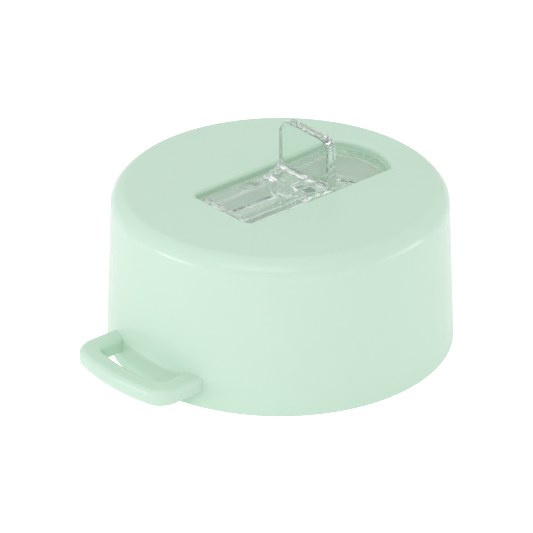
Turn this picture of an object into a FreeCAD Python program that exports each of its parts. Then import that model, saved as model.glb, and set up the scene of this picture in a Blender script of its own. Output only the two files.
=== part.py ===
import FreeCAD, Part
import math
import os
import Sketcher
from FreeCAD import Placement, Rotation, Vector

# Flip-spout lid for a wide-mouth drinking bottle.
# Frame: origin on the lid's axis in the plane that the lid rests on, +Z up, millimetres.
# -X is the side of the strap loop and of the stowed mouthpiece, +X the side of the finger pocket.

# Driving dimensions: name, value.  Lengths in mm, angles in degrees.
DIMENSIONS = [
    # outer shell
    ("lid_height", 41.2),
    ("base_radius", 44.0),
    ("draft_inset", 1.87),
    ("shoulder_inset", 3.1),
    ("shoulder_drop", 3.5),
    ("shoulder_radius", 5.1),
    ("shoulder_top_round", 1.5),
    ("shoulder_foot_round", 0.7),
    ("base_round", 0.5),
    ("shell_wall", 2.4),
    ("top_plate", 2.4),
    ("inner_round", 1.2),
    # slot in the shell's top
    ("slot_left", -19.6),
    ("slot_half", 10.9),
    ("slot_end", 31.5),
    ("slot_end_radius", 16.4),
    ("slot_corner", 2.5),
    ("slot_end_corner", 0.8),
    ("slot_rim_round", 1.2),
    # strap loop
    ("loop_outer", 55.8),
    ("loop_inner", 50.6),
    ("loop_root", 42.5),
    ("loop_half", 17.0),
    ("loop_hole_half", 11.4),
    ("loop_bottom", 4.0),
    ("loop_thick", 4.4),
    ("loop_corner", 6.0),
    ("loop_hole_corner", 2.2),
    ("loop_round", 1.4),
    # snap lugs that hold the inner cap
    ("lug_count", 6),
    ("lug_root", 41.9),
    ("lug_tip", 40.2),
    ("lug_half", 5.0),
    ("lug_bottom", 3.2),
    ("lug_top", 4.8),
    # inner cap
    ("neck_bore", 37.2),
    ("neck_bore_depth", 7.0),
    ("thread_root", 36.6),
    ("thread_crest", 35.2),
    ("thread_pitch", 5.0),
    ("thread_start", 9.6),
    ("thread_rise", 7.5),
    ("thread_foot_half", 1.5),
    ("thread_crest_half", 0.6),
    ("skirt_outer", 39.2),
    ("collar_outer", 40.9),
    ("collar_top", 6.6),
    ("plate_bottom", 22.4),
    ("plate_top", 25.0),
    ("ring_inner", 36.0),
    ("ring_outer", 38.0),
    ("rib_inner", 11.7),
    ("rib_outer", 13.2),
    ("rib_left", -19.0),
    ("rib_right", 25.0),
    ("spigot_hole", 5.1),
    # tray
    ("flange_margin", 2.5),
    ("flange_thick", 1.6),
    ("tub_half", 11.1),
    ("tub_left", -20.6),
    ("tub_end", 31.6),
    ("tub_bottom", 26.6),
    ("cavity_half", 9.6),
    ("cavity_left", -19.05),
    ("cavity_end", 30.0),
    ("cavity_end_radius", 15.0),
    ("cavity_floor", 31.0),
    ("cavity_corner", 2.4),
    ("cavity_floor_round", 2.0),
    ("cavity_rim_round", 0.4),
    ("ledge_width", 0.8),
    ("ledge_level", 37.3),
    ("saddle_radius", 5.8),
    ("bearing_radius", 2.25),
    ("seal_seat_radius", 5.5),
    ("seal_seat_bottom", 27.8),
    ("spigot_radius", 4.4),
    ("spigot_bottom", 15.0),
    ("port_radius", 2.75),
    ("pocket_rib_offset", 3.4),
    ("pocket_rib_half", 0.5),
    ("pocket_rib_left", 16.0),
    ("pocket_rib_right", 27.0),
    ("pocket_rib_height", 0.8),
    # spout
    ("pivot_x", 8.0),
    ("pivot_z", 35.6),
    ("barrel_radius", 5.1),
    ("hub_left", 4.2),
    ("hub_half", 8.75),
    ("arm_left", -18.3),
    ("arm_half", 8.0),
    ("arm_bottom", 31.6),
    ("arm_long_round", 0.9),
    ("arm_end_round", 0.8),
    ("arm_low_round", 1.2),
    ("trunnion_radius", 2.2),
    ("trunnion_half", 10.9),
    ("duct_right", 3.6),
    ("duct_half_width", 5.3),
    ("duct_half_height", 2.4),
    ("duct_corner", 0.9),
    ("bore_radius", 2.1),
    ("tab_left", 7.4),
    ("tab_thick", 3.1),
    ("tab_foot_thick", 3.4),
    ("tab_half", 9.2),
    ("tab_foot", 39.0),
    ("tab_top", 54.0),
    ("tab_corner", 3.8),
    ("tab_edge_round", 0.6),
    ("tab_root_round", 2.0),
    # silicone pieces
    ("seal_radius", 5.4),
    ("seal_gap", 0.15),
    ("gasket_outer", 6.6),
    ("gasket_inner", 4.45),
    ("straw_radius", 3.55),
    ("straw_collar_outer", 6.2),
    ("straw_collar_bottom", 8.0),
    ("straw_flange_outer", 7.6),
    ("straw_flange_thick", 1.6),
    ("neck_gasket_inner", 31.0),
    ("neck_gasket_outer", 36.4),
    ("neck_gasket_thick", 1.8),
    ("valve_x", -6.0),
    ("valve_y", 21.5),
    ("valve_disc", 4.2),
    ("valve_disc_thick", 0.9),
    ("valve_stem", 1.5),
    ("valve_head", 2.3),
    ("valve_head_height", 2.2),
    ("vent_hole", 0.6),
    ("vent_hole_circle", 2.8),
    ("vent_hole_count", 4),
]

DOC = FreeCAD.newDocument("flip_spout_lid")


def make_sheet():
    """Put the driving dimensions in a spreadsheet, one alias each."""
    sheet = DOC.addObject("Spreadsheet::Sheet", "Dims")
    for row, (name, number) in enumerate(DIMENSIONS, start=1):
        sheet.set(f"A{row}", name)
        sheet.set(f"B{row}", str(number))
        sheet.setAlias(f"B{row}", name)
    DOC.recompute()
    return sheet


SHEET = make_sheet()


def dims(expression):
    """Write every driving dimension in an expression as Dims.name."""
    words = []
    word = ""
    for letter in expression + " ":
        if letter.isalnum() or letter == "_":
            word += letter
            continue
        if word in NAMES:
            word = "Dims." + word
        words.append(word + letter)
        word = ""
    return "".join(words).strip()


NAMES = {name for name, number in DIMENSIONS}


def value(expression):
    return float(SHEET.evalExpression(dims(expression)))


def bind(thing, path, expression):
    """Set a property of an object from the sheet."""
    thing.setExpression(path, dims(expression))


def origin_feature(body, role):
    return next(feature for feature in body.Origin.OriginFeatures if feature.Role == role)


def make_body(name):
    body = DOC.addObject("PartDesign::Body", name)
    body.Label = name
    return body


def make_sketch(body, name, plane, offset="0"):
    """A sketch on one of the body's own planes, moved along the plane's normal."""
    sketch = body.newObject("Sketcher::SketchObject", name)
    sketch.AttachmentSupport = [(origin_feature(body, plane), "")]
    sketch.MapMode = "FlatFace"
    bind(sketch, "AttachmentOffset.Base.z", offset)
    return sketch


def constrain(sketch, kind, *where, expression):
    """A driving constraint whose number comes from the sheet."""
    index = sketch.addConstraint(Sketcher.Constraint(kind, *where, value(expression)))
    bind(sketch, f"Constraints[{index}]", expression)


def place_point(sketch, geometry, end, point):
    """Hold a point by its coordinates; a coordinate that starts with ~ is only a first guess."""
    for kind, expression in zip(("DistanceX", "DistanceY"), point):
        if not expression.startswith("~"):
            constrain(sketch, kind, -1, 1, geometry, end, expression=expression)


def guess(point):
    return Vector(value(point[0].lstrip("~")), value(point[1].lstrip("~")), 0)


def arc_between(start, finish, centre, clockwise):
    """A circle's arc from start to finish, and which of its ends is the start."""
    radius = (start - centre).Length
    first = math.atan2(start.y - centre.y, start.x - centre.x)
    last = math.atan2(finish.y - centre.y, finish.x - centre.x)
    circle = Part.Circle(centre, Vector(0, 0, 1), radius)
    if clockwise:
        return Part.ArcOfCircle(circle, last, first), 2
    return Part.ArcOfCircle(circle, first, last), 1


def draw_outline(sketch, points, arcs=None):
    """A closed outline through the points.

    arcs maps the number of a point to (centre, radius, clockwise) where the stretch that
    starts there is an arc.
    """
    arcs = arcs or {}
    pieces = []
    for number, point in enumerate(points):
        start = guess(point)
        finish = guess(points[(number + 1) % len(points)])
        if number in arcs:
            centre, radius, clockwise = arcs[number]
            curve, start_end = arc_between(start, finish, guess(centre), clockwise)
            pieces.append((sketch.addGeometry(curve, False), start_end, 3 - start_end))
        else:
            pieces.append((sketch.addGeometry(Part.LineSegment(start, finish), False), 1, 2))
    for number, (geometry, start_end, finish_end) in enumerate(pieces):
        following, following_start, _ = pieces[(number + 1) % len(pieces)]
        link = Sketcher.Constraint("Coincident", geometry, finish_end, following, following_start)
        sketch.addConstraint(link)
        place_point(sketch, geometry, start_end, points[number])
        if number in arcs:
            centre, radius, clockwise = arcs[number]
            place_point(sketch, geometry, 3, centre)
            constrain(sketch, "Radius", geometry, expression=radius)


def draw_circle(sketch, centre, radius):
    circle = Part.Circle(guess(centre), Vector(0, 0, 1), value(radius))
    geometry = sketch.addGeometry(circle, False)
    place_point(sketch, geometry, 3, centre)
    constrain(sketch, "Radius", geometry, expression=radius)


def rectangle(left, right, low, high):
    return [(left, low), (right, low), (right, high), (left, high)]


def revolve(body, name, points, arcs=None):
    """Turn an outline in the XZ plane about the body's Z axis."""
    sketch = make_sketch(body, name + "_profile", "XZ_Plane")
    draw_outline(sketch, points, arcs)
    feature = body.newObject("PartDesign::Revolution", name)
    feature.Profile = sketch
    feature.ReferenceAxis = (origin_feature(body, "Z_Axis"), [""])
    feature.Angle = 360
    return feature


def extrude(body, name, sketch, length, kind="Pad", reverse=False, both=False):
    """A pad or pocket of a sketch; both spreads the length evenly about the sketch."""
    feature = body.newObject("PartDesign::" + kind, name)
    feature.Profile = sketch
    bind(feature, "Length", length)
    feature.Reversed = reverse
    feature.SideType = "Symmetric" if both else "One side"
    return feature


def cut(body, name, sketch, length, reverse=False, both=False):
    """A pocket that has to take material away."""
    DOC.recompute()
    before = body.Tip.Shape.Volume
    feature = extrude(body, name, sketch, length, "Pocket", reverse, both)
    DOC.recompute()
    if feature.Shape.isNull() or feature.Shape.Volume > before - 1e-3:
        raise RuntimeError(f"{body.Name}.{name} takes nothing away")
    return feature


def pick_edges(shape, wanted):
    """Names of the edges whose middle point and direction the test accepts."""
    names = []
    for number, edge in enumerate(shape.Edges, start=1):
        if edge.Degenerated:
            continue
        middle = edge.valueAt((edge.FirstParameter + edge.LastParameter) / 2)
        along = edge.tangentAt((edge.FirstParameter + edge.LastParameter) / 2)
        if wanted(middle, along, edge):
            names.append(f"Edge{number}")
    return names


def round_edges(body, name, radius, wanted):
    """Fillet the edges of the body's last feature that the test accepts."""
    DOC.recompute()
    base = body.Tip
    edges = pick_edges(base.Shape, wanted)
    if not edges:
        raise RuntimeError(f"{body.Name}.{name} finds no edge")
    feature = body.newObject("PartDesign::Fillet", name)
    feature.Base = (base, edges)
    bind(feature, "Radius", radius)
    DOC.recompute()
    return feature


def near(number, expression, slack=0.02):
    return abs(number - value(expression)) < slack


def slot_outline(left, half, end, radius):
    """A straight-sided slot along X with a square left end and an arc for its right end."""
    centre = (f"{end} - ({radius})", "0")
    reach = f"~{end} - ({radius}) + sqrt(({radius})^2 - ({half})^2)"
    points = [(left, f"-({half})"), (reach, f"-({half})"), (reach, half), (left, half)]
    return points, {1: (centre, radius, False)}


def cylinder(name, radius, height):
    shape = DOC.addObject("Part::Cylinder", name)
    bind(shape, "Radius", radius)
    bind(shape, "Height", height)
    return shape


def place(thing, x="0", y="0", z="0"):
    bind(thing, "Placement.Base.x", x)
    bind(thing, "Placement.Base.y", y)
    bind(thing, "Placement.Base.z", z)


def cut_parts(name, base, tool):
    result = DOC.addObject("Part::Cut", name)
    result.Base = base
    result.Tool = tool
    return result


# ---------------------------------------------------------------- outer shell

def make_outer_shell():
    body = make_body("outer_shell")
    slope = "draft_inset / lid_height"
    ceiling = "lid_height - top_plate"
    foot_level = "lid_height - shoulder_drop"
    foot_radius = f"base_radius - {slope} * ({foot_level})"
    crown_radius = "base_radius - draft_inset - shoulder_inset"
    across = f"({foot_radius} - ({crown_radius}))"
    chord = f"sqrt({across}^2 + shoulder_drop^2)"
    back = f"sqrt(shoulder_radius^2 - ({chord})^2 / 4) / {chord}"
    centre = (f"~({foot_radius} + {crown_radius}) / 2 - {back} * shoulder_drop",
              f"~lid_height - shoulder_drop / 2 - {back} * {across}")
    revolve(body, "skirt", [
        ("base_radius - shell_wall", "0"),
        ("base_radius", "0"),
        (foot_radius, foot_level),
        (crown_radius, "lid_height"),
        ("0", "lid_height"),
        ("0", ceiling),
        (f"base_radius - shell_wall - {slope} * ({ceiling})", ceiling),
    ], {2: (centre, "shoulder_radius", False)})
    round_edges(body, "shoulder_top", "shoulder_top_round",
                lambda p, t, e: near(p.z, "lid_height") and p.x ** 2 + p.y ** 2 > 1)
    round_edges(body, "shoulder_foot", "shoulder_foot_round",
                lambda p, t, e: near(p.z, foot_level) and abs(t.z) < 0.1)
    round_edges(body, "base_edge", "base_round",
                lambda p, t, e: near(p.z, "0") and near(math.hypot(p.x, p.y), "base_radius"))
    round_edges(body, "inner_edge", "inner_round",
                lambda p, t, e: near(p.z, ceiling) and math.hypot(p.x, p.y) > 1)
    add_strap_loop(body)
    add_snap_lugs(body)
    cut_slot(body)
    return body


def add_strap_loop(body):
    """Two arms and a front bar that follows a circle about the lid's axis."""
    sketch = make_sketch(body, "loop_outline", "XY_Plane", "loop_bottom")

    def on_circle(radius, y):
        return (f"~-sqrt(({radius})^2 - ({y})^2)", y)

    points = [
        on_circle("loop_root", "loop_half"),
        on_circle("loop_outer", "loop_half"),
        on_circle("loop_outer", "-loop_half"),
        on_circle("loop_root", "-loop_half"),
        on_circle("loop_root", "-loop_hole_half"),
        on_circle("loop_inner", "-loop_hole_half"),
        on_circle("loop_inner", "loop_hole_half"),
        on_circle("loop_root", "loop_hole_half"),
    ]
    middle = ("0", "0")
    arcs = {
        1: (middle, "loop_outer", False),
        3: (middle, "loop_root", True),
        5: (middle, "loop_inner", True),
        7: (middle, "loop_root", True),
    }
    draw_outline(sketch, points, arcs)
    extrude(body, "strap_loop", sketch, "loop_thick")

    def upright(p, t, radius, half):
        return (abs(t.z) > 0.9 and p.x < 0 and near(math.hypot(p.x, p.y), radius)
                and near(abs(p.y), half))

    round_edges(body, "loop_corners", "loop_corner",
                lambda p, t, e: upright(p, t, "loop_outer", "loop_half"))
    round_edges(body, "loop_hole_corners", "loop_hole_corner",
                lambda p, t, e: upright(p, t, "loop_inner", "loop_hole_half"))

    def loop_rim(p, t, e):
        level = near(p.z, "loop_bottom") or near(p.z, "loop_bottom + loop_thick")
        outside = math.hypot(p.x, p.y) > value("base_radius") + 0.5
        return level and outside and p.x < 0 and abs(t.z) < 0.01

    round_edges(body, "loop_rims", "loop_round", loop_rim)


def add_snap_lugs(body):
    """Lugs on the shell's inner wall, evenly spaced, that the inner cap's collar sits on."""
    sketch = make_sketch(body, "lug_outline", "XY_Plane", "lug_bottom")
    draw_outline(sketch, rectangle("lug_tip", "lug_root", "-lug_half", "lug_half"))
    lug = extrude(body, "snap_lug", sketch, "lug_top - lug_bottom")
    pattern = body.newObject("PartDesign::PolarPattern", "snap_lugs")
    pattern.Originals = [lug]
    pattern.Axis = (origin_feature(body, "Z_Axis"), [""])
    pattern.Angle = 360
    bind(pattern, "Occurrences", "lug_count")
    body.Tip = pattern


def cut_slot(body):
    sketch = make_sketch(body, "slot_outline", "XY_Plane", "lid_height - top_plate - 1")
    points, arcs = slot_outline("slot_left", "slot_half", "slot_end", "slot_end_radius")
    draw_outline(sketch, points, arcs)
    cut(body, "slot", sketch, "top_plate + 2", reverse=True)
    round_edges(body, "slot_corners", "slot_corner",
                lambda p, t, e: abs(t.z) > 0.9 and near(p.x, "slot_left"))
    round_edges(body, "slot_end_corners", "slot_end_corner",
                lambda p, t, e: abs(t.z) > 0.9 and near(abs(p.y), "slot_half") and p.x > 0)
    round_edges(body, "slot_rim", "slot_rim_round", lambda p, t, e: near(p.z, "lid_height")
                and math.hypot(p.x, p.y) < value("slot_end") + 1)


# ---------------------------------------------------------------- inner cap

def make_inner_cap():
    body = make_body("inner_cap")
    revolve(body, "cap", [
        ("neck_bore", "0"),
        ("skirt_outer", "0"),
        ("skirt_outer", "lug_top"),
        ("collar_outer", "lug_top"),
        ("collar_outer", "collar_top"),
        ("skirt_outer", "collar_top"),
        ("skirt_outer", "plate_top"),
        ("ring_outer", "plate_top"),
        ("ring_outer", "lid_height - top_plate"),
        ("ring_inner", "lid_height - top_plate"),
        ("ring_inner", "plate_top"),
        ("0", "plate_top"),
        ("0", "plate_bottom"),
        ("thread_root", "plate_bottom"),
        ("thread_root", "neck_bore_depth"),
        ("neck_bore", "neck_bore_depth"),
    ])
    for name, low, high in (("rib_front", "-rib_outer", "-rib_inner"),
                            ("rib_rear", "rib_inner", "rib_outer")):
        sketch = make_sketch(body, name + "_outline", "XY_Plane", "plate_top - 0.5")
        draw_outline(sketch, rectangle("rib_left", "rib_right", low, high))
        extrude(body, name, sketch, "lid_height - top_plate - flange_thick - plate_top + 0.5")
    holes = make_sketch(body, "plate_holes_outline", "XY_Plane", "plate_bottom - 1")
    draw_circle(holes, ("pivot_x", "0"), "spigot_hole")
    draw_circle(holes, ("valve_x", "valve_y"), "valve_stem")
    for number in range(int(value("vent_hole_count"))):
        turn = f"({number} * 360deg / vent_hole_count + 45deg)"
        centre = (f"valve_x + vent_hole_circle * cos{turn}", f"valve_y + vent_hole_circle * sin{turn}")
        draw_circle(holes, centre, "vent_hole")
    cut(body, "plate_holes", holes, "plate_top - plate_bottom + 2", reverse=True)
    add_thread(body)
    return body


def add_thread(body):
    """One right-hand ridge that rises inside the skirt."""
    sketch = make_sketch(body, "thread_profile", "XZ_Plane")
    draw_outline(sketch, [
        ("thread_root + 0.3", "thread_start - thread_foot_half"),
        ("thread_root + 0.3", "thread_start + thread_foot_half"),
        ("thread_crest", "thread_start + thread_crest_half"),
        ("thread_crest", "thread_start - thread_crest_half"),
    ])
    helix = body.newObject("PartDesign::AdditiveHelix", "thread")
    helix.Profile = sketch
    helix.ReferenceAxis = (origin_feature(body, "Z_Axis"), [""])
    helix.Mode = 0
    bind(helix, "Pitch", "thread_pitch")
    bind(helix, "Height", "thread_rise")
    helix.LeftHanded = False


# ---------------------------------------------------------------- tray

def make_spout_tray():
    body = make_body("spout_tray")
    ceiling = "lid_height - top_plate"
    flange = make_sketch(body, "flange_outline", "XY_Plane", f"{ceiling} - flange_thick")
    points, arcs = slot_outline("slot_left - flange_margin", "slot_half + flange_margin",
                                "slot_end + flange_margin", "slot_end_radius + flange_margin")
    draw_outline(flange, points, arcs)
    extrude(body, "flange", flange, "flange_thick")
    tub = make_sketch(body, "tub_outline", "XY_Plane", "tub_bottom")
    points, arcs = slot_outline("tub_left", "tub_half", "tub_end", "slot_end_radius")
    draw_outline(tub, points, arcs)
    extrude(body, "tub", tub, f"{ceiling} - flange_thick - tub_bottom")
    cavity = make_sketch(body, "cavity_outline", "XY_Plane", "cavity_floor")
    points, arcs = slot_outline("cavity_left", "cavity_half", "cavity_end", "cavity_end_radius")
    draw_outline(cavity, points, arcs)
    cut(body, "cavity", cavity, "lid_height - cavity_floor", reverse=True)
    right_corner = "cavity_end - cavity_end_radius + sqrt(cavity_end_radius^2 - cavity_half^2)"
    round_edges(body, "cavity_corners", "cavity_corner", lambda p, t, e: abs(t.z) > 0.9
                and near(p.x, right_corner) and near(abs(p.y), "cavity_half"))
    round_edges(body, "cavity_floor_edge", "cavity_floor_round",
                lambda p, t, e: near(p.z, "cavity_floor"))
    ledge = make_sketch(body, "ledge_outline", "XY_Plane", "ledge_level")
    points, arcs = slot_outline("cavity_left", "cavity_half + ledge_width", "cavity_end + ledge_width",
                                "cavity_end_radius + ledge_width")
    draw_outline(ledge, points, arcs)
    cut(body, "ledge", ledge, "lid_height - ledge_level", reverse=True)
    round_edges(body, "cavity_rim", "cavity_rim_round", lambda p, t, e: near(p.z, ceiling)
                and abs(p.y) < value("cavity_half + ledge_width") + 0.05
                and value("cavity_left") - 0.05 < p.x < value("cavity_end + ledge_width") + 0.05)
    saddle = make_sketch(body, "saddle_outline", "XZ_Plane")
    draw_circle(saddle, ("pivot_x", "pivot_z"), "saddle_radius")
    cut(body, "saddle", saddle, "2 * cavity_half", both=True)
    bearings = make_sketch(body, "bearing_outline", "XZ_Plane")
    draw_circle(bearings, ("pivot_x", "pivot_z"), "bearing_radius")
    cut(body, "bearings", bearings, "2 * tub_half + 2", both=True)
    spigot = make_sketch(body, "spigot_outline", "XY_Plane", "spigot_bottom")
    draw_circle(spigot, ("pivot_x", "0"), "spigot_radius")
    extrude(body, "spigot", spigot, "tub_bottom - spigot_bottom + 0.5")
    seat = make_sketch(body, "seal_seat_outline", "XY_Plane", "seal_seat_bottom")
    draw_circle(seat, ("pivot_x", "0"), "seal_seat_radius")
    cut(body, "seal_seat", seat, "cavity_floor - seal_seat_bottom + 0.5", reverse=True)
    port = make_sketch(body, "port_outline", "XY_Plane", "spigot_bottom - 1")
    draw_circle(port, ("pivot_x", "0"), "port_radius")
    cut(body, "port", port, "seal_seat_bottom - spigot_bottom + 2", reverse=True)
    for name, side in (("pocket_rib_front", "-"), ("pocket_rib_rear", "")):
        rib = make_sketch(body, name + "_outline", "XY_Plane", "cavity_floor - 0.3")
        middle = f"{side}pocket_rib_offset"
        draw_outline(rib, rectangle("pocket_rib_left", "pocket_rib_right",
                                    f"{middle} - pocket_rib_half", f"{middle} + pocket_rib_half"))
        extrude(body, name, rib, "pocket_rib_height + 0.3")
    return body


# ---------------------------------------------------------------- spout

def make_spout_arm():
    """Mouthpiece arm, hub and trunnions.

    A flat duct runs down the arm, and a round bore carries it on through the hub.
    """
    body = make_body("spout_arm")
    arm_top = "pivot_z + barrel_radius"
    arm = make_sketch(body, "arm_outline", "XZ_Plane")
    draw_outline(arm, rectangle("arm_left", "hub_left", "arm_bottom", arm_top))
    extrude(body, "arm", arm, "2 * arm_half", both=True)
    round_edges(body, "arm_sides", "arm_long_round",
                lambda p, t, e: abs(t.x) > 0.9 and near(p.z, arm_top))
    round_edges(body, "arm_end", "arm_end_round", lambda p, t, e: near(p.x, "arm_left")
                and p.z > value("arm_bottom") + 0.1 and abs(t.z) < 0.9)
    round_edges(body, "arm_keel", "arm_low_round",
                lambda p, t, e: abs(t.x) > 0.9 and near(p.z, "arm_bottom"))
    hub = make_sketch(body, "hub_outline", "XZ_Plane")
    draw_outline(hub, rectangle("hub_left", "pivot_x", "arm_bottom", arm_top))
    extrude(body, "hub", hub, "2 * hub_half", both=True)
    for name, radius, half in (("barrel", "barrel_radius", "hub_half"),
                               ("trunnions", "trunnion_radius", "trunnion_half")):
        end = make_sketch(body, name + "_outline", "XZ_Plane")
        draw_circle(end, ("pivot_x", "pivot_z"), radius)
        extrude(body, name, end, f"2 * {half}", both=True)
    duct = make_sketch(body, "duct_outline", "YZ_Plane", "arm_left - 1")
    draw_outline(duct, rectangle("-duct_half_width", "duct_half_width",
                                 "pivot_z - duct_half_height", "pivot_z + duct_half_height"))
    cut(body, "duct", duct, "duct_right - arm_left + 1", reverse=True)
    round_edges(body, "duct_corners", "duct_corner", lambda p, t, e: abs(t.x) > 0.9
                and near(abs(p.y), "duct_half_width")
                and near(abs(p.z - value("pivot_z")), "duct_half_height"))
    bore = make_sketch(body, "bore_outline", "YZ_Plane", "duct_right - 1")
    draw_circle(bore, ("0", "pivot_z"), "bore_radius")
    cut(body, "bore", bore, "pivot_x + barrel_radius - duct_right + 2", reverse=True)
    return body


def make_spout_tab():
    """The upright thumb tab: a plate that thins upward, with a hollow fillet at its front foot."""
    body = make_body("spout_tab")
    tab = make_sketch(body, "tab_outline", "XZ_Plane")
    arm_top = "pivot_z + barrel_radius"
    root = "tab_left - tab_root_round"
    draw_outline(tab, [
        (root, "tab_foot"),
        ("tab_left + tab_foot_thick", "tab_foot"),
        ("tab_left + tab_thick", "tab_top"),
        ("tab_left", "tab_top"),
        ("~tab_left", f"{arm_top} + tab_root_round"),
        (root, f"~{arm_top}"),
    ], {4: ((root, f"{arm_top} + tab_root_round"), "tab_root_round", True)})
    extrude(body, "tab", tab, "2 * tab_half", both=True)
    round_edges(body, "tab_corners", "tab_corner",
                lambda p, t, e: abs(t.x) > 0.9 and near(p.z, "tab_top"))
    round_edges(body, "tab_rim", "tab_edge_round", lambda p, t, e: abs(t.x) < 0.1
                and p.z > value(arm_top) + value("tab_root_round") + 0.1)
    return body


def make_flip_spout():
    """One moulding: the tab grows out of the top of the hub."""
    spout = DOC.addObject("Part::Fuse", "flip_spout")
    spout.Base = make_spout_arm()
    spout.Tool = make_spout_tab()
    spout.Refine = True
    spout.Label = "flip_spout"
    return spout


# ---------------------------------------------------------------- silicone pieces

def make_port_seal():
    """A cylinder whose top is hollowed to the barrel's curve, with the port's bore through it."""
    block = cylinder("seal_block", "seal_radius", "cavity_floor - seal_seat_bottom")
    place(block, "pivot_x", "0", "seal_seat_bottom")
    hollow = cylinder("seal_hollow", "barrel_radius + seal_gap", "4 * seal_radius")
    hollow.Placement = Placement(Vector(), Rotation(Vector(1, 0, 0), 90))
    place(hollow, "pivot_x", "2 * seal_radius", "pivot_z")
    bore = cylinder("seal_bore", "port_radius", "cavity_floor - seal_seat_bottom + 2")
    place(bore, "pivot_x", "0", "seal_seat_bottom - 1")
    seal = cut_parts("port_seal", cut_parts("seal_saddle", block, hollow), bore)
    seal.Label = "port_seal"
    return seal


def make_ring(name, outer, inner, low, high, x="0"):
    body = make_body(name)
    revolve(body, "ring", rectangle(inner, outer, low, high))
    place(body, x)
    return body


def make_straw_collar():
    body = make_body("straw_collar")
    revolve(body, "collar", [
        ("straw_radius", "straw_collar_bottom"),
        ("straw_collar_outer", "straw_collar_bottom"),
        ("straw_collar_outer", "plate_bottom - straw_flange_thick"),
        ("straw_flange_outer", "plate_bottom - straw_flange_thick"),
        ("straw_flange_outer", "plate_bottom"),
        ("spigot_radius", "plate_bottom"),
        ("spigot_radius", "spigot_bottom"),
        ("straw_radius", "spigot_bottom"),
    ])
    place(body, "pivot_x")
    return body


def make_vent_valve():
    body = make_body("vent_valve")
    revolve(body, "valve", [
        ("0", "plate_bottom - 1.5 * valve_disc_thick"),
        ("valve_disc / 2", "plate_bottom - 1.3 * valve_disc_thick"),
        ("valve_disc", "plate_bottom - 0.4"),
        ("valve_disc", "plate_bottom"),
        ("valve_stem", "plate_bottom"),
        ("valve_stem", "plate_top"),
        ("valve_head", "plate_top"),
        ("valve_stem", "plate_top + valve_head_height"),
        ("0", "plate_top + valve_head_height"),
    ])
    place(body, "valve_x", "valve_y")
    return body


def make_sub_parts():
    return [
        make_outer_shell(),
        make_inner_cap(),
        make_spout_tray(),
        make_flip_spout(),
        make_port_seal(),
        make_ring("spigot_gasket", "gasket_outer", "gasket_inner", "plate_top", "tub_bottom", "pivot_x"),
        make_straw_collar(),
        make_ring("neck_gasket", "neck_gasket_outer", "neck_gasket_inner",
                  "plate_bottom - neck_gasket_thick", "plate_bottom"),
        make_vent_valve(),
    ]


def check_document(parts):
    """Stop on any feature that failed, and on any sub-part without a valid shape."""
    for thing in DOC.Objects:
        if "Invalid" in thing.State or "Error" in thing.State:
            raise RuntimeError(f"{thing.Name} failed: {thing.State}")
    for part in parts:
        shape = part.Shape
        if shape.isNull() or not shape.isValid() or len(shape.Solids) != 1:
            raise RuntimeError(f"{part.Label} has no single valid solid")


def main():
    parts = make_sub_parts()
    DOC.recompute()
    check_document(parts)
    os.makedirs("parts", exist_ok=True)
    for part in parts:
        part.Shape.exportStep(f"parts/{part.Label}.step")
        box = part.Shape.BoundBox
        print(f"{part.Label}: volume {part.Shape.Volume:.0f}, "
              f"x {box.XMin:.2f} {box.XMax:.2f}, y {box.YMin:.2f} {box.YMax:.2f}, "
              f"z {box.ZMin:.2f} {box.ZMax:.2f}")


main()
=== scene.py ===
import math

import bpy
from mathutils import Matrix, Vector

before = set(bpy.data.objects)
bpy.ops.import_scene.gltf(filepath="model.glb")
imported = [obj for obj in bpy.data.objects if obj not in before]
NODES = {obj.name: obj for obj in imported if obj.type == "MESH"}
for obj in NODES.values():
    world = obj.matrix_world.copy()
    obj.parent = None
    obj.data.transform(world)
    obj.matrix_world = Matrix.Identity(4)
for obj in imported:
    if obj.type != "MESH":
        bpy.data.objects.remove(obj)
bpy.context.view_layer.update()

# Camera: a long lens seen from the loop's side, in the row frame.
CAMERA_AZIMUTH = math.radians(-41.6)
CAMERA_ELEVATION = math.radians(27.62)
CAMERA_DISTANCE = 0.88
CAMERA_TARGET = Vector((0.0, 0.0, 0.0198))
CAMERA_LENS = 236.4
CAMERA_SHIFT = (-0.0259, -0.0102)

# Own colours of the plastics, linear.
MINT = (0.54, 0.72, 0.585)
LINER_SHADE = 0.97
SPOUT_TINT = (0.94, 0.985, 0.957)
TRAY_TINT = (0.925, 0.96, 0.937)
SOFT_SILICONE = (0.80, 0.86, 0.82)
WHITE_SILICONE = (0.86, 0.87, 0.86)
PAPER_TONES = ((0.93, 0.93, 0.93), (0.96, 0.96, 0.96))
# How much of a lamp's light the spout passes at each surface, on top of its tint.
SPOUT_SHADE = 0.94

SHELL_ROUGHNESS = 0.21
LINER_ROUGHNESS = 0.40
CLEAR_ROUGHNESS = 0.015
MINT_IOR = 1.49
CLEAR_IOR = 1.54

# Pattern scales, in cells per metre.
CLOUD_SCALE = 60.0
POLISH_SCALE = 200.0
RIPPLE_SCALE = 120.0
GRAIN_SCALE = 6000.0
SMEAR_SCALE = 400.0
WAVE_SCALE = 150.0
DUST_SCALE = 1500.0
SKIN_SCALE = 3000.0
MOTTLE_SCALE = 300.0
PAPER_SCALE = 30.0

# Soft boxes: name, azimuth from the camera and elevation in degrees, distance, width and
# height in metres, power in watts.
SOFT_BOXES = (
    ("front_box", -15, 40, 1.2, 0.8, 0.6, 2.45),
    ("left_box", -66, 5, 1.0, 0.6, 0.1, 1.8),
    ("right_box", 82, 4, 1.0, 0.7, 0.12, 1.1),
)
LAMP_COLOUR = (1.0, 0.87, 1.0)
SKY_TOP = (0.95, 0.999, 0.95)
SKY_EDGE = (0.67, 0.605, 0.675)
# A hair under the lid's rim, so that the two don't share a plane.
FLOOR_LEVEL = -0.00005
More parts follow.
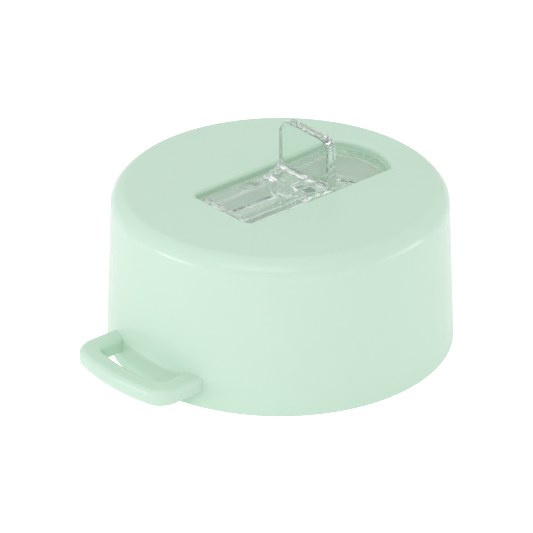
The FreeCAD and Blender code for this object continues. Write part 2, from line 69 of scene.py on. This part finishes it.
# The floor's own light: a little for every ray, and more where the camera sees it.
FLOOR_GLOW = 0.14
FLOOR_GLOW_SEEN = 0.5
# Painted light: the mint parts glow a little, standing in for light that reaches the lid's inside
# through its translucent walls. HOLLOW_GLOW is on the shell's inner faces and SHELL_GLOW on the rest of
# the shell; INNER_GLOW is on the inner cap and UNDER_GLOW on its faces below the plate.
INNER_GLOW = (0.20, 0.145, 0.18)
SHELL_GLOW = (0.02, 0.03, 0.022)
HOLLOW_GLOW = (0.14, 0.20, 0.16)
UNDER_GLOW = (0.03, 0.05, 0.035)
# The shell's inner faces lie within this radius and below this level, in metres.
HOLLOW_RADIUS = 0.0415
HOLLOW_TOP = 0.0389
# A level inside the inner cap's plate, between its top and its underside.
PLATE_LEVEL = 0.024


def principled(name):
    """A new material with a Principled shader; returns the material, its tree and the shader."""
    material = bpy.data.materials.new(name)
    material.use_nodes = True
    tree = material.node_tree
    shader = next(node for node in tree.nodes if node.type == "BSDF_PRINCIPLED")
    return material, tree, shader


def add_node(tree, kind, **values):
    node = tree.nodes.new(kind)
    for name, setting in values.items():
        setattr(node, name, setting)
    return node


def noise(tree, scale, detail=4.0, roughness=0.5):
    """A noise pattern in object space, in metres."""
    place = add_node(tree, "ShaderNodeTexCoord")
    pattern = add_node(tree, "ShaderNodeTexNoise")
    pattern.inputs["Scale"].default_value = scale
    pattern.inputs["Detail"].default_value = detail
    pattern.inputs["Roughness"].default_value = roughness
    tree.links.new(place.outputs["Object"], pattern.inputs["Vector"])
    return pattern.outputs["Fac"]


def spread(tree, source, low, high):
    """Map a 0..1 pattern to low..high."""
    node = add_node(tree, "ShaderNodeMapRange")
    node.inputs["From Min"].default_value = 0.3
    node.inputs["From Max"].default_value = 0.7
    node.inputs["To Min"].default_value = low
    node.inputs["To Max"].default_value = high
    tree.links.new(source, node.inputs["Value"])
    return node.outputs["Result"]


def rgba_inputs(mix):
    """The two colour sockets of a Mix node, which also has number and vector ones of the same names."""
    return {socket.name: socket for socket in mix.inputs if socket.type == "RGBA"}


def rgba_result(mix):
    return next(socket for socket in mix.outputs if socket.type == "RGBA")


def two_tone(tree, source, first, second):
    """Blend two colours by a 0..1 pattern."""
    mix = add_node(tree, "ShaderNodeMix", data_type="RGBA")
    colours = rgba_inputs(mix)
    colours["A"].default_value = (*first, 1)
    colours["B"].default_value = (*second, 1)
    tree.links.new(source, mix.inputs["Factor"])
    return rgba_result(mix)


def scaled(colour, factor):
    return tuple(channel * factor for channel in colour)


def bump(tree, shader, layers):
    """Stack bumps: layers of (height source, strength, distance in metres)."""
    normal = None
    for source, strength, distance in layers:
        node = add_node(tree, "ShaderNodeBump")
        node.inputs["Strength"].default_value = strength
        node.inputs["Distance"].default_value = distance
        tree.links.new(source, node.inputs["Height"])
        if normal:
            tree.links.new(normal, node.inputs["Normal"])
        normal = node.outputs["Normal"]
    tree.links.new(normal, shader.inputs["Normal"])


def below(tree, source, limit):
    """1 where the source is under the limit, else 0."""
    node = add_node(tree, "ShaderNodeMath", operation="LESS_THAN")
    node.inputs[1].default_value = limit
    tree.links.new(source, node.inputs[0])
    return node.outputs["Value"]


def split_glow(tree, shader, outside, inside, top):
    """One painted glow, standing in for light, for the faces inside the lid and below a level, and
    another for the rest.
    """
    place = add_node(tree, "ShaderNodeNewGeometry")
    split = add_node(tree, "ShaderNodeSeparateXYZ")
    tree.links.new(place.outputs["Position"], split.inputs["Vector"])
    level = add_node(tree, "ShaderNodeVectorMath", operation="MULTIPLY")
    level.inputs[1].default_value = (1, 1, 0)
    tree.links.new(place.outputs["Position"], level.inputs[0])
    radius = add_node(tree, "ShaderNodeVectorMath", operation="LENGTH")
    tree.links.new(level.outputs["Vector"], radius.inputs[0])
    both = add_node(tree, "ShaderNodeMath", operation="MULTIPLY")
    tree.links.new(below(tree, radius.outputs["Value"], HOLLOW_RADIUS), both.inputs[0])
    tree.links.new(below(tree, split.outputs["Z"], top), both.inputs[1])
    glow = two_tone(tree, both.outputs["Value"], outside, inside)
    tree.links.new(glow, shader.inputs["Emission Color"])


def mint_plastic(name, colour, roughness, glow, inside_glow, top):
    """Satin moulded plastic: fine spark-eroded grain, faint cloudiness in colour and gloss, and a
    painted glow that stands in for light.
    """
    material, tree, shader = principled(name)
    cloud = noise(tree, CLOUD_SCALE, 3.0)
    tone = two_tone(tree, cloud, scaled(colour, 0.985), scaled(colour, 1.015))
    tree.links.new(tone, shader.inputs["Base Color"])
    polish = spread(tree, noise(tree, POLISH_SCALE, 2.0), roughness - 0.006, roughness + 0.006)
    tree.links.new(polish, shader.inputs["Roughness"])
    shader.inputs["IOR"].default_value = MINT_IOR
    shader.inputs["Subsurface Weight"].default_value = 0.25
    shader.inputs["Subsurface Radius"].default_value = (0.8, 1.0, 0.85)
    shader.inputs["Subsurface Scale"].default_value = 0.0012
    # Painted light: one glow for the faces inside the lid and below top, another for the rest.
    split_glow(tree, shader, glow, inside_glow, top)
    shader.inputs["Emission Strength"].default_value = 1.0
    grain = noise(tree, GRAIN_SCALE, 2.0, 0.6)
    ripple = noise(tree, RIPPLE_SCALE, 2.0)
    bump(tree, shader, [(ripple, 0.08, 0.00003), (grain, 0.02, 0.00001)])
    return material


def clear_plastic(name, tint, shade=1.0):
    """Polished clear copolyester with the faint waviness of a moulded surface.

    Lamps and diffuse light pass straight through it, so that what lies under it stays lit;
    shade dims them a little at each surface they cross.
    """
    material, tree, shader = principled(name)
    shader.inputs["Base Color"].default_value = (*tint, 1)
    shader.inputs["Transmission Weight"].default_value = 1.0
    shader.inputs["IOR"].default_value = CLEAR_IOR
    smear = spread(tree, noise(tree, SMEAR_SCALE), CLEAR_ROUGHNESS, CLEAR_ROUGHNESS + 0.02)
    tree.links.new(smear, shader.inputs["Roughness"])
    bump(tree, shader, [(noise(tree, WAVE_SCALE, 2.0), 0.03, 0.00002)])
    rays = add_node(tree, "ShaderNodeLightPath")
    either = add_node(tree, "ShaderNodeMath", operation="MAXIMUM")
    tree.links.new(rays.outputs["Is Shadow Ray"], either.inputs[0])
    tree.links.new(rays.outputs["Is Diffuse Ray"], either.inputs[1])
    through = add_node(tree, "ShaderNodeBsdfTransparent")
    through.inputs["Color"].default_value = (*scaled(tint, shade), 1)
    mix = add_node(tree, "ShaderNodeMixShader")
    tree.links.new(either.outputs["Value"], mix.inputs["Fac"])
    tree.links.new(shader.outputs["BSDF"], mix.inputs[1])
    tree.links.new(through.outputs["BSDF"], mix.inputs[2])
    output = next(node for node in tree.nodes if node.type == "OUTPUT_MATERIAL")
    tree.links.new(mix.outputs["Shader"], output.inputs["Surface"])
    return material


def silicone(name, colour):
    """Soft translucent silicone with a dusty, matte skin."""
    material, tree, shader = principled(name)
    mottle = noise(tree, MOTTLE_SCALE, 3.0)
    tree.links.new(two_tone(tree, mottle, scaled(colour, 0.95), colour), shader.inputs["Base Color"])
    tree.links.new(spread(tree, noise(tree, DUST_SCALE), 0.45, 0.6), shader.inputs["Roughness"])
    shader.inputs["Subsurface Weight"].default_value = 0.6
    shader.inputs["Subsurface Radius"].default_value = (1.0, 1.0, 1.0)
    shader.inputs["Subsurface Scale"].default_value = 0.0015
    bump(tree, shader, [(noise(tree, SKIN_SCALE, 2.0), 0.1, 0.00003)])
    return material


def paint(node, material):
    """Give a CAD node the material on every slot."""
    for slot in NODES[node].material_slots:
        slot.material = material


def paint_nodes():
    shell = mint_plastic("mint_shell_plastic", MINT, SHELL_ROUGHNESS,
                         SHELL_GLOW, HOLLOW_GLOW, HOLLOW_TOP)
    liner = mint_plastic("mint_liner_plastic", scaled(MINT, LINER_SHADE), LINER_ROUGHNESS,
                         INNER_GLOW, UNDER_GLOW, PLATE_LEVEL)
    paint("outer_shell", shell)
    paint("inner_cap", liner)
    paint("spout_tray", clear_plastic("clear_tray_plastic", TRAY_TINT))
    paint("flip_spout", clear_plastic("clear_spout_plastic", SPOUT_TINT, SPOUT_SHADE))
    soft = silicone("seal_silicone", SOFT_SILICONE)
    for node in ("port_seal", "spigot_gasket", "straw_collar", "vent_valve"):
        paint(node, soft)
    paint("neck_gasket", silicone("gasket_silicone", WHITE_SILICONE))


def make_floor():
    """A plain pale floor, lifted to white where the camera sees it."""
    bpy.ops.mesh.primitive_plane_add(size=6.0, location=(0, 0, FLOOR_LEVEL))
    floor = bpy.context.object
    floor.name = "floor"
    material, tree, shader = principled("floor_paper")
    shader.inputs["Roughness"].default_value = 0.9
    tone = two_tone(tree, noise(tree, PAPER_SCALE), *PAPER_TONES)
    tree.links.new(tone, shader.inputs["Base Color"])
    shader.inputs["Specular IOR Level"].default_value = 0.1
    shader.inputs["Emission Color"].default_value = (1, 1, 1, 1)
    rays = add_node(tree, "ShaderNodeLightPath")
    glow = add_node(tree, "ShaderNodeMath", operation="MULTIPLY_ADD")
    glow.inputs[1].default_value = FLOOR_GLOW_SEEN
    glow.inputs[2].default_value = FLOOR_GLOW
    tree.links.new(rays.outputs["Is Camera Ray"], glow.inputs[0])
    tree.links.new(glow.outputs["Value"], shader.inputs["Emission Strength"])
    floor.data.materials.append(material)


def area_light(name, azimuth, elevation, distance, width, height, power):
    """A soft box that looks at the object; azimuth in degrees from the camera, elevation from level."""
    light = bpy.data.lights.new(name, "AREA")
    light.shape = "RECTANGLE"
    light.size = width
    light.size_y = height
    light.color = LAMP_COLOUR
    light.energy = power
    lamp = bpy.data.objects.new(name, light)
    bpy.context.scene.collection.objects.link(lamp)
    lamp.location = direction(CAMERA_AZIMUTH + math.radians(azimuth), math.radians(elevation)) * distance
    lamp.rotation_euler = (-lamp.location).to_track_quat("-Z", "Y").to_euler()


def direction(azimuth, elevation):
    level = math.cos(elevation)
    return Vector((math.sin(azimuth) * level, -math.cos(azimuth) * level, math.sin(elevation)))


def make_lights():
    world = bpy.data.worlds.new("studio")
    world.use_nodes = True
    tree = world.node_tree
    place = add_node(tree, "ShaderNodeTexCoord")
    split = add_node(tree, "ShaderNodeSeparateXYZ")
    tree.links.new(place.outputs["Generated"], split.inputs["Vector"])
    sky = add_node(tree, "ShaderNodeMix", data_type="RGBA")
    mix_inputs = rgba_inputs(sky)
    tree.links.new(split.outputs["Z"], sky.inputs["Factor"])
    mix_inputs["A"].default_value = (*SKY_EDGE, 1)
    mix_inputs["B"].default_value = (*SKY_TOP, 1)
    background = tree.nodes["Background"]
    tree.links.new(rgba_result(sky), background.inputs["Color"])
    bpy.context.scene.world = world
    for soft_box in SOFT_BOXES:
        area_light(*soft_box)


def set_light_paths():
    """Enough bounces for light to cross the clear pieces, which lie one inside another."""
    cycles = bpy.context.scene.cycles
    cycles.max_bounces = 32
    cycles.transmission_bounces = 32
    cycles.glossy_bounces = 16
    cycles.diffuse_bounces = 6
    cycles.transparent_max_bounces = 32


def make_camera():
    camera = bpy.data.cameras.new("camera")
    camera.lens = CAMERA_LENS
    camera.sensor_width = 36.0
    camera.shift_x, camera.shift_y = CAMERA_SHIFT
    camera.clip_start = 0.01
    camera.clip_end = 20.0
    eye = bpy.data.objects.new("camera", camera)
    bpy.context.scene.collection.objects.link(eye)
    eye.location = CAMERA_TARGET + direction(CAMERA_AZIMUTH, CAMERA_ELEVATION) * CAMERA_DISTANCE
    eye.rotation_euler = (CAMERA_TARGET - eye.location).to_track_quat("-Z", "Y").to_euler()
    bpy.context.scene.camera = eye


make_camera()
make_floor()
make_lights()
set_light_paths()
paint_nodes()
bpy.context.scene.view_settings.view_transform = "Standard"
